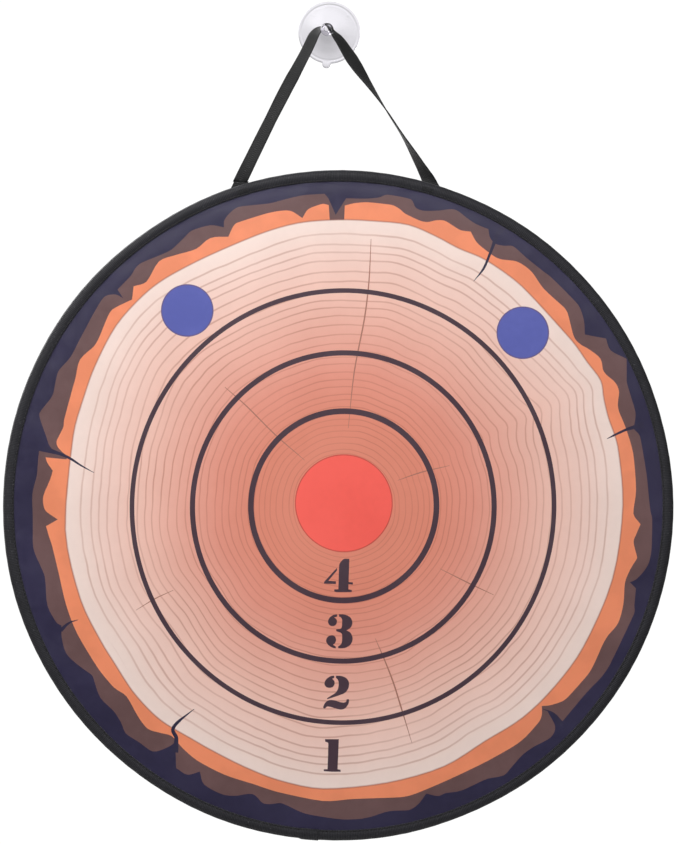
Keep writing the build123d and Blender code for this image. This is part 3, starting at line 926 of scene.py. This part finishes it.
    def build(self) -> list[Piece]:
        plan = self.print_plan()
        outlines = [o for _, outline, hole in plan for o in (outline, hole) if o is not None]
        starts = np.cumsum([0] + [len(o) for o in outlines])
        loops = [start + np.arange(len(o)) for start, o in zip(starts, outlines)]
        edges = np.vstack([np.stack([loop, np.roll(loop, -1)], -1) for loop in loops])
        given = np.vstack([*outlines, self.filling()])
        points, _, triangles, *_ = delaunay_2d_cdt(given.tolist(), edges.tolist(), [], 0, self.weld, False)
        flat, faces = np.array(points, float), np.array(triangles)
        middles = flat[faces].mean(1)
        layer = np.full(len(faces), Layer.OUTER_BARK.value, np.int32)
        for kind, outline, hole in plan:
            covered = inside(middles, outline)
            if hole is not None:
                covered &= ~inside(middles, hole)
            layer[covered] = kind.value
        piece = new_piece("printed_cover", self.place.lift(flat, self.depth(flat)), faces)
        for name, values in self.growth(flat).items():
            attribute = piece.data.attributes.new(name, "FLOAT", "POINT")
            attribute.data.foreach_set("value", values.astype(np.float32))
        for finish in self.inks:
            piece.data.materials.append(finish.material())
        piece.data.polygons.foreach_set("material_index", layer)
        wall = piece.modifiers.new("Cloth thickness", "SOLIDIFY")
        wall.thickness = self.thickness * MM
        wall.offset = -1.0
        stand_for(piece, "target", "front_cover")
        return [piece]


# ---- the rim ----


@dataclass
class RimBinding:
    """The grosgrain tape folded over the rim, its lap, its stitches and the strap's tacks."""

    place: Place
    stitch_radius: float = 242.9
    stitch_pitch: float = 3.0
    stitch_size: Size = (2.3, 0.62, 0.45)
    lap_angle: float = 183.4
    lap_arc: float = 3.4
    lap_height: float = 0.55
    lap_stitch_size: Size = (1.1, 0.5, 0.35)
    tack_width: float = 7.6
    tack_size: Size = (1.15, 0.36, 0.3)
    middle_depth: float = 16.0

    # the folded tape's section: radius and depth, outside from front to back, then inside again
    outer: tuple = (
        (242.0, 19.5), (242.15, 20.0), (242.9, 19.95), (243.7, 20.1), (244.8, 20.4), (246.3, 20.45),
        (247.8, 20.05), (249.2, 18.9), (249.9, 17.2), (250.0, 15.6), (249.8, 14.0), (249.0, 12.6),
        (247.6, 11.85), (246.0, 11.65), (244.4, 11.75), (243.0, 11.95), (242.15, 11.9), (242.0, 12.35),
    )
    inner: tuple = (
        (242.3, 12.64), (246.4, 12.64), (248.9, 14.0), (249.2, 16.0), (248.9, 18.0), (246.4, 19.36),
        (242.3, 19.36),
    )

    def angles(self) -> np.ndarray:
        """Where the section is drawn: evenly, and closer together at both ends of the lap."""
        near = self.lap_angle + np.array([-0.05, 0.02, 0.09, 0.16])
        far = self.lap_angle + self.lap_arc + np.array([-0.5, -0.2, 0.1])
        return np.unique(np.concatenate([np.arange(0, FULL_TURN, 1 / 3), near, far]))

    def tape(self) -> Piece:
        """Carries the section round the rim. The outside swells over the lap and is a little uneven."""
        section = smooth_line([*self.outer, *self.inner], 2, True, 70)
        outside = (np.arange(len(section)) < 2 * len(self.outer)).astype(float)
        angles, end = self.angles(), self.lap_angle + self.lap_arc
        over = smoothstep(self.lap_angle - 0.02, self.lap_angle + 0.1, angles)
        over *= 1 - smoothstep(end - 0.5, end + 0.1, angles)
        a = np.radians(angles)
        slack = 0.22 * np.sin(3 * a + 0.7) + 0.16 * np.sin(7 * a + 2.1) + 0.1 * np.sin(13 * a)
        slack -= 1.0 * bell(angles, 152, 16) - 0.35
        ripple = 0.06 * np.sin(113 * a) * np.sin(29 * a + 1)
        away = section - (244.0, self.middle_depth)
        away /= np.linalg.norm(away, axis=1)[:, None]
        grow = (over * self.lap_height + ripple)[:, None, None] * away * outside[:, None]
        grow[..., 0] += slack[:, None] * smoothstep(242.5, 250, section[:, 0])
        along = np.radians(np.append(angles, FULL_TURN)) * self.place.radius
        steps = np.linalg.norm(np.diff(section, axis=0, append=section[:1]), axis=1) * MM
        lengths = (along, np.concatenate([[0], np.cumsum(steps)]))
        piece = grid_piece("rim_tape", lathe(section, angles, self.place, grow), True, True, lengths)
        return stand_for(piece, "target", "edge_binding")

    def sew(
        self,
        name: str,
        node: str,
        radius: np.ndarray | float,
        angle: np.ndarray,
        swing: np.ndarray | float,
        depth: np.ndarray,
        size: Size,
    ) -> Piece:
        """Sews a stitch at each angle, standing out on the side of the tape that its depth is on.

        Args:
            name: the piece's name.
            node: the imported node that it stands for.
            radius: from the target's middle, in mm.
            angle: degrees, clockwise from the top.
            swing: the thread's turn from the rim's own direction, in degrees.
            depth: distance from the wall, in mm.
            size: a stitch's length, width and height, in mm.
        """
        a = np.radians(angle + swing)
        along = np.stack([np.cos(a), 0 * a, -np.sin(a)], -1)
        up = np.stack([0 * a, np.where(depth > self.middle_depth, -1.0, 1.0), 0 * a], -1)
        piece = stitches(name, self.place.lift(polar(radius, angle), depth), along, up, size)
        return stand_for(piece, "target", node)

    def seam(self, name: str, node: str, depth: float) -> Piece:
        """The ring of slightly slanted stitches along the tape's inner edge, on one side."""
        count = int(2 * pi * self.stitch_radius / self.stitch_pitch)
        angle = np.arange(count) * FULL_TURN / count
        return self.sew(name, node, self.stitch_radius, angle, 4.0, depth + 0 * angle, self.stitch_size)

    def lap_stitches(self) -> Piece:
        """Three short stitches across the lap's end, front and back."""
        radius = np.tile([243.6, 245.1, 246.5], 2)
        angle = np.full(6, self.lap_angle + 0.28)
        depth = np.repeat([20.75, 11.3], 3)
        return self.sew("lap_stitches", "lap_stitching", radius, angle, -90.0, depth, self.lap_stitch_size)

    def tack(self, name: str, node: str, end: float) -> Piece:
        """A bar tack: four rows of stitches slanted to and fro, through the tape and the webbing."""
        radius = np.repeat(244.3 + 0.75 * np.arange(4), 13)
        angle = end + np.degrees(np.tile(np.linspace(-0.5, 0.5, 13), 4) * self.tack_width / 246)
        swing = np.where(np.arange(len(radius)) % 2 == 0, 62.0, -62.0)
        radius, angle, swing = (np.tile(values, 2) for values in (radius, angle, swing))
        depth = np.repeat([20.38, 10.62], len(radius) // 2)
        return self.sew(name, node, radius, angle, swing, depth, self.tack_size)

    def build(self) -> list[Piece]:
        """Makes and dresses every piece of the rim."""
        tape = dress([self.tape()], Ribbed("Black grosgrain", (22, 21, 26), 1 / (1.25 * MM), 0.0, 0.0001))
        sewn = [
            self.seam("seam_stitches_front", "rim_stitching_front", 19.98),
            self.seam("seam_stitches_back", "rim_stitching_back", 11.92),
            self.lap_stitches(),
            self.tack("bar_tack_left", "strap_tack_left", -16.85),
            self.tack("bar_tack_right", "strap_tack_right", 15.8),
        ]
        return tape + dress(sewn, Matted("Black thread", (22, 21, 24), 2600.0, 0.00004, 0.55))


# ---- the strap ----


@dataclass
class HangingStrap:
    """Webbing over the cup's neck, turning from edge on to flat, its ends sewn behind the rim."""

    place: Place
    width: float = 10.0
    thickness: float = 0.95
    neck_depth: float = 16.0
    end_depth: float = 11.15
    hinge_rise: float = 242.4
    sewn_length: float = 12.5

    # the route's points, to the right and up from the cup's middle
    route: tuple = (
        (-67.6, -119.2), (-37.9, -58.2), (-16.4, -18.8), (-11.8, -9.0), (-9.2, -3.4), (-5.4, 0.6),
        (-1.0, 3.7), (2.2, 0.9), (6.0, -3.6), (10.2, -8.2), (17.2, -19.6), (45.0, -60.4), (64.2, -90.5),
        (80.2, -119.2),
    )
    # the webbing's turn from edge on, in degrees, at distances from the neck
    left_turns: tuple = (
        (0, 0), (2, 8), (6, 32), (11, 48), (14, 52), (30, 55), (40, 61), (47, 70), (64, 70),
        (81, 62), (98, 68), (115, 73), (130, 86), (140, 90),
    )
    right_turns: tuple = (
        (0, 0), (3, 8), (5, 18), (9, 26), (13, 38), (20, 48), (26, 55), (32, 64), (40, 55), (46, 43),
        (53, 30), (62, 18), (71, 8), (82, 0), (95, -2), (103, -7), (110, -15), (118, -26), (127, -38),
        (135, -56), (142, -90),
    )
    # name, node, place across and lean of each sewn end
    sewn_ends: tuple = (
        ("sewn_end_left", "strap_end_left", -63.8, -25.5),
        ("sewn_end_right", "strap_end_right", 76.6, 31.0),
    )

    def section(self) -> tuple[np.ndarray, np.ndarray]:
        """The webbing's section: across and through, a flat oval with |x|^8 + |y|^8 = 1 and fuller edges."""
        t = np.radians(np.arange(0, FULL_TURN, 10.0))
        across, through = (np.sign(wave) * np.abs(wave) ** 0.25 for wave in (np.cos(t), np.sin(t)))
        fuller = 1 + 0.1 * smoothstep(0.7, 0.92, np.abs(across))
        return across * self.width / 2, through * fuller * self.thickness / 2

    def spline(self) -> np.ndarray:
        """Points in mm along the route's own smooth curve, in the plane of the wall."""
        curve = bpy.data.curves.new("strap_route", "CURVE")
        curve.dimensions = "3D"
        line = curve.splines.new("NURBS")
        line.points.add(len(self.route) - 1)
        line.points.foreach_set("co", np.array([(x * MM, 0, z * MM, 1) for x, z in self.route]).ravel())
        line.order_u = 3
        line.use_endpoint_u = True
        line.resolution_u = 32
        holder = bpy.data.objects.new("strap_route", curve)
        mesh = bpy.data.meshes.new_from_object(holder)
        points = np.zeros(len(mesh.vertices) * 3, np.float32)
        mesh.vertices.foreach_get("co", points)
        bpy.data.objects.remove(holder)
        bpy.data.meshes.remove(mesh)
        bpy.data.curves.remove(curve)
        return points.reshape(-1, 3).astype(float)[:, [0, 2]] / MM

    def ribbon(self, middle: np.ndarray, ahead: np.ndarray, turn: np.ndarray) -> np.ndarray:
        """The section carried along a line: across is (0, -cos t, 0) + sin t (ahead x forwards)."""
        forwards = np.array([0.0, -1.0, 0.0])
        across = forwards * np.cos(turn)[:, None] + np.cross(ahead, forwards) * np.sin(turn)[:, None]
        through = np.cross(across, ahead)
        wide, thick = self.section()
        return middle[:, None] + across[:, None] * wide[:, None] + through[:, None] * thick[:, None]

    def webbing(self, name: str, rows: np.ndarray, travel: np.ndarray, body: str, node: str) -> Piece:
        """Closes the rows of a ribbon with a pole at each end and maps its weave.

        Args:
            name: the piece's name.
            rows: (n, 36, 3) in mm.
            travel: (n,) how far along the webbing each row is, in mm.
            body: what it moves with.
            node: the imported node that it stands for.
        """
        poles = [end.mean(1, keepdims=True) + 0 * end for end in (rows[:1], rows[-1:])]
        along = np.concatenate([travel[:1], travel, travel[-1:]]) * MM
        across = np.arange(rows.shape[1] + 1) * 2 * self.width / rows.shape[1] * MM
        closed = np.concatenate([poles[0], rows, poles[1]]) * MM
        return stand_for(grid_piece(name, closed, False, True, (along, across)), body, node)

    def free_run(self) -> Piece:
        """The run from one seam over the neck to the other, cut level at both seams."""
        flat = self.spline()
        travel = np.concatenate([[0], np.cumsum(np.linalg.norm(np.diff(flat, axis=0), axis=1))])
        from_neck = travel - travel[np.argmax(flat[:, 1])]
        lean = np.where(from_neck < 0, from_neck / from_neck[0], from_neck / from_neck[-1])
        depth = self.neck_depth + (self.end_depth - self.neck_depth) * lean
        middle = np.stack([flat[:, 0], -depth, flat[:, 1]], -1)
        ahead = np.gradient(middle, travel, axis=0)
        ahead /= np.linalg.norm(ahead, axis=1)[:, None]
        left = np.interp(-from_neck, *np.array(self.left_turns, float).T)
        right = np.interp(from_neck, *np.array(self.right_turns, float).T)
        rows = self.ribbon(middle, ahead, np.radians(np.where(from_neck < 0, left, right)))
        level = self.place.z / MM + self.hinge_rise - 0.15
        under = np.minimum(rows[..., 2] - level, 0) / ahead[:, None, 2]
        rows = rows - under[..., None] * ahead[:, None]
        shown = middle[:, 2] > level - 4
        piece = self.webbing("hanging_strap_webbing", rows[shown], travel[shown], "strap", "hanging_strap")
        return piece

    def sewn_end(self, name: str, node: str, x: float, lean: float) -> Piece:
        """One end of the webbing, flat behind the rim, from the seam down, cut level at the seam.

        Args:
            name: the piece's name.
            node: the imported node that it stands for.
            x: where the seam's middle is, to the right of the cup, in mm.
            lean: how far the end turns to the right as it goes down, in degrees.
        """
        down = np.array([sin(radians(lean)), 0.0, -cos(radians(lean))])
        top = np.array([x, -11.2, self.place.z / MM + self.hinge_rise])
        travel = np.linspace(0, self.sewn_length, 14)
        middle = top + travel[:, None] * down
        rows = self.ribbon(middle, np.broadcast_to(down, middle.shape), np.full(len(travel), pi / 2))
        over = (rows[..., 2] - top[2] - 0.05) / down[2]
        moved = (travel[:, None] < 4.0) & ((over < 0) | (travel[:, None] == 0))
        rows = np.where(moved[..., None], rows - over[..., None] * down, rows)
        return self.webbing(name, rows, travel, "target", node)

    def build(self) -> list[Piece]:
        """Makes and dresses the free run and both sewn ends."""
        threads = (1 / (1.5 * MM), 1 / (1.25 * MM))
        # (44, 44, 46) is the paler colour of the painted highlight on the rib crowns
        finish = Ribbed("Black webbing", (17, 17, 18), *threads, 0.0002, 0.66, (44, 44, 46))
        return dress([self.free_run(), *[self.sewn_end(*end) for end in self.sewn_ends]], finish)


# ---- the suction cup ----


@dataclass
class SuctionCup:
    """A clear cup, its neck and head, and the pull tab that grows out of its lip."""

    lip_radius: float = 23.2
    tab_reach: float = 26.7
    tab_half_angle: float = 7.4
    tab_angle: float = 185.5
    pip_radius: float = 0.75
    pip_height: float = 0.3
    # how far the soft cup gives to the right and up, by depth
    give: tuple = ((3.0, 2.0, -0.9), (9.5, 0.0, 0.0), (21.0, 0.0, 0.0), (24.0, 0.6, -0.9))

    # radius and depth from the wall: under the cup, round the lip, up the dome, neck and head
    section: tuple = (
        (0.0, 1.8), (7.0, 1.65), (14.4, 1.2), (18.7, 0.5), (20.8, 0.0), (22.7, 0.0), (23.2, 0.45),
        (23.15, 1.05), (22.6, 1.5), (21.7, 1.6), (21.0, 1.45), (20.4, 1.65), (19.5, 2.15), (16.7, 3.2),
        (13.0, 4.7), (9.0, 6.4), (6.4, 7.9), (4.6, 9.4), (2.6, 10.0), (1.85, 10.6), (1.75, 12.0),
        (1.75, 16.0), (1.75, 20.9), (2.3, 21.5), (3.8, 21.7), (4.6, 22.1), (4.8, 23.2), (4.5, 24.4),
        (3.6, 25.1), (2.2, 25.2), (0.0, 25.2),
    )
    pips: tuple = ((-11.7, 12.6), (13.9, 12.7))

    def build(self) -> list[Piece]:
        """Turns the section about the neck, pulls the lip out into the tab and raises the two pips.

        The soft neck gives under the strap, so lip, neck and head lie a little apart sideways.
        """
        section = smooth_line(list(self.section), 4, False, 60)
        angles = np.arange(0, FULL_TURN, 1.5)[:, None]
        depth = section[:, 1] + 0 * angles
        tongue = np.clip(1 - np.abs((angles - self.tab_angle) / self.tab_half_angle) ** 2.3, 0, 1) ** 0.5
        pull = smoothstep(20.2, self.lip_radius, section[:, 0]) * (depth < 3)
        flat = polar(section[:, 0] + (self.tab_reach - self.lip_radius) * tongue * pull, angles)
        for x, z in self.pips:
            away = np.hypot(flat[..., 0] - x, flat[..., 1] - z)
            depth += self.pip_height * bell(away, 0, self.pip_radius) * (depth > 1.9)
        levels, right, up = np.array(self.give).T
        right, up = np.interp(depth, levels, right), np.interp(depth, levels, up)
        points = np.stack([flat[..., 0] + right, -depth, flat[..., 1] + up], -1) * MM
        piece = stand_for(grid_piece("clear_cup", points, True, False), "cup", "suction_cup")
        return dress([piece], Vinyl("Clear vinyl"))


# ---- what is under the cover ----


@dataclass
class TargetCore:
    """The foam pad, the felt back, and the stiff layers between them."""

    place: Place
    foam_radius: float = 240.8
    foam_front: float = 18.95
    foam_back: float = 16.62
    felt_radius: float = 246.3
    felt_thickness: float = 0.7

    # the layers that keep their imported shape
    layers = {
        "steel_sheet": Matted("Tinned steel", (176, 178, 182), 260.0, 0.00002, 0.34, 1.0),
        "front_adhesive_film": Matted("Front adhesive", (222, 214, 196), 420.0, 0.00003, 0.4),
        "rear_adhesive_film": Matted("Rear adhesive", (218, 210, 192), 420.0, 0.00003, 0.42),
        "backing_board": Matted("Grey board", (150, 144, 134), 700.0, 0.0002, 0.88),
        "rim_cord": Matted("Cotton cord", (206, 200, 188), 1200.0, 0.0004, 0.92),
    }

    def foam(self) -> list[Piece]:
        """A soft-edged pad: a turned section, slightly crowned."""
        r, front, back = self.foam_radius, self.foam_front, self.foam_back
        line = [
            (0, front), (r / 2, front), (r - 3, front - 0.05), (r - 0.5, front - 0.55),
            (r, (front + back) / 2), (r - 0.5, back + 0.2), (r - 2, back), (r / 2, back), (0, back),
        ]
        points = lathe(smooth_line(line, 5, False), np.arange(0, FULL_TURN, 1.0), self.place)
        piece = stand_for(grid_piece("foam_pad", points, True, False), "target", "front_foam")
        return dress([piece], Matted("Grey foam", (150, 150, 152), 900.0, 0.0004, 0.9))

    def felt(self) -> list[Piece]:
        """The back cover: a disc, dipped at the seam and faintly quilted by the glue under it."""
        radii = np.concatenate([[0], np.linspace(6, 232, 60), np.linspace(234, self.felt_radius, 14)])
        angles = np.arange(0, FULL_TURN, 1.0)
        r, a = np.meshgrid(radii, np.radians(angles))
        waves = 0.1 * np.sin(r * np.sin(a) / 29) * np.sin(r * np.cos(a) / 37 + 1) * smoothstep(0, 20, r)
        pucker = 0.08 * np.sin(53 * a) * smoothstep(224, 240, r)
        depth = self.place.back_depth / MM + 0.12 + waves + pucker + 0.32 * smoothstep(234, 241, r)
        piece = grid_piece("back_felt_cover", self.place.lift(polar(r, np.degrees(a)), depth), True, False)
        normals = np.zeros(len(piece.data.polygons) * 3, np.float32)
        piece.data.polygons.foreach_get("normal", normals)
        if normals[1::3].mean() < 0:
            piece.data.flip_normals()
        wall = piece.modifiers.new("Felt thickness", "SOLIDIFY")
        wall.thickness = self.felt_thickness * MM
        wall.offset = -1.0
        stand_for(piece, "target", "back_cover")
        return dress([piece], Matted("Black felt", (52, 51, 55), 1500.0, 0.0003, 0.95))

    def build(self) -> list[Piece]:
        """Makes the pad and the felt, and dresses the layers between."""
        stiff = [dress([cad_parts[node]], finish) for node, finish in self.layers.items()]
        return sum(stiff, [*self.foam(), *self.felt()])


# ---- the studio ----


@dataclass(frozen=True)
class Softbox:
    """A rectangular soft light, aimed at a point."""

    name: str
    at: tuple[float, float, float]
    size: tuple[float, float]
    watts: float

    def place(self, aim: Vector) -> None:
        """Puts the light in the scene."""
        lamp = bpy.data.lights.new(self.name, "AREA")
        lamp.shape = "RECTANGLE"
        lamp.size, lamp.size_y = self.size
        lamp.energy = self.watts
        holder = bpy.data.objects.new(self.name, lamp)
        holder.location = self.at
        holder.rotation_euler = (aim - Vector(self.at)).to_track_quat("-Z", "Y").to_euler()
        bpy.context.scene.collection.objects.link(holder)


@dataclass
class Studio:
    """A white sweep of air, a pale floor, three softboxes and a long lens square on to the face."""

    place: Place
    lens_distance: float = 3.0
    view_height: float = 0.6296
    view_middle: tuple[float, float] = (0.00097, 0.0625)
    floor_level: float = -1.62
    ambient: float = 0.11
    backdrop: float = 1.05
    sensor: float = 36.0
    aim_rise: float = 0.05

    softboxes = (
        Softbox("key", (-0.62, -1.0, 0.78), (1.6, 0.8), 31.0),
        Softbox("fill", (1.3, -1.7, 0.6), (1.0, 1.2), 8.5),
        Softbox("back", (-1.2, 1.1, 0.6), (1.2, 1.2), 34.0),
    )

    def world(self) -> None:
        """White where the camera or clear plastic looks out, dimmer where it only lights."""
        world = bpy.data.worlds.new("Studio air")
        bpy.context.scene.world = world
        world.use_nodes = True
        tree = Tree(world.node_tree)
        path = tree.node("ShaderNodeLightPath").outputs
        spot = tree.node("ShaderNodeTexCoord").outputs["Generated"]
        way = tree.node("ShaderNodeSeparateXYZ", {"Vector": spot}).outputs
        up = tree.range(way["Z"], 0.03, 0.2, 1.0, 0.42)
        aside = tree.range(tree.math("ABSOLUTE", way["X"]), 0.15, 0.6, 1.0, 0.8)
        through = tree.math("MULTIPLY", path["Is Transmission Ray"], tree.math("MULTIPLY", up, aside))
        seen = tree.math("MAXIMUM", path["Is Camera Ray"], through)
        strength = tree.math("MULTIPLY_ADD", seen, self.backdrop - self.ambient, self.ambient)
        air = tree.node("ShaderNodeBackground", {"Color": (1, 1, 1, 1), "Strength": strength})
        tree.node("ShaderNodeOutputWorld", {"Surface": air.outputs[0]})

    def floor(self) -> None:
        """A wide pale floor well under the target."""
        x, y = np.meshgrid(np.linspace(-4, 4, 9), np.linspace(-5, 4, 9), indexing="ij")
        points = np.stack([x, y, np.full_like(x, self.floor_level)], -1).reshape(-1, 3)
        floor = new_piece("floor", points, grid_faces(9, 9, False, False))
        dress([floor], Matted("Pale floor", (246, 246, 246), 900.0, 0.0, 0.8, mottled=0.01, glow=0.55))

    def camera(self) -> None:
        """Looks level along +Y, wide enough for the whole object."""
        lens = bpy.data.cameras.new("camera")
        lens.sensor_width = self.sensor
        lens.lens = self.sensor * self.lens_distance / self.view_height
        holder = bpy.data.objects.new("camera", lens)
        right, up = self.view_middle
        away = self.lens_distance + self.place.face_depth
        holder.location = (self.place.x + right, -away, self.place.z + up)
        holder.rotation_euler = (pi / 2, 0, 0)
        bpy.context.scene.collection.objects.link(holder)
        bpy.context.scene.camera = holder

    def build(self) -> None:
        """Sets up the floor, the air, the lights and the camera."""
        self.world()
        self.floor()
        for softbox in self.softboxes:
            softbox.place(Vector((self.place.x, 0.0, self.place.z + self.aim_rise)))
        self.camera()
        bpy.context.scene.view_settings.view_transform = "Standard"


def main() -> None:
    """Builds the target from the core outwards, then the strap, the cup and the studio."""
    logging.basicConfig(level=logging.INFO)
    place = Place.from_frame()
    parts = (TargetCore(place), PrintedFace(place), RimBinding(place), HangingStrap(place), SuctionCup())
    for part in parts:
        for piece in part.build():
            LOG.info("%s: %d faces", piece.name, len(piece.data.polygons))
    Studio(place).build()


if __name__ == "__main__":
    main()
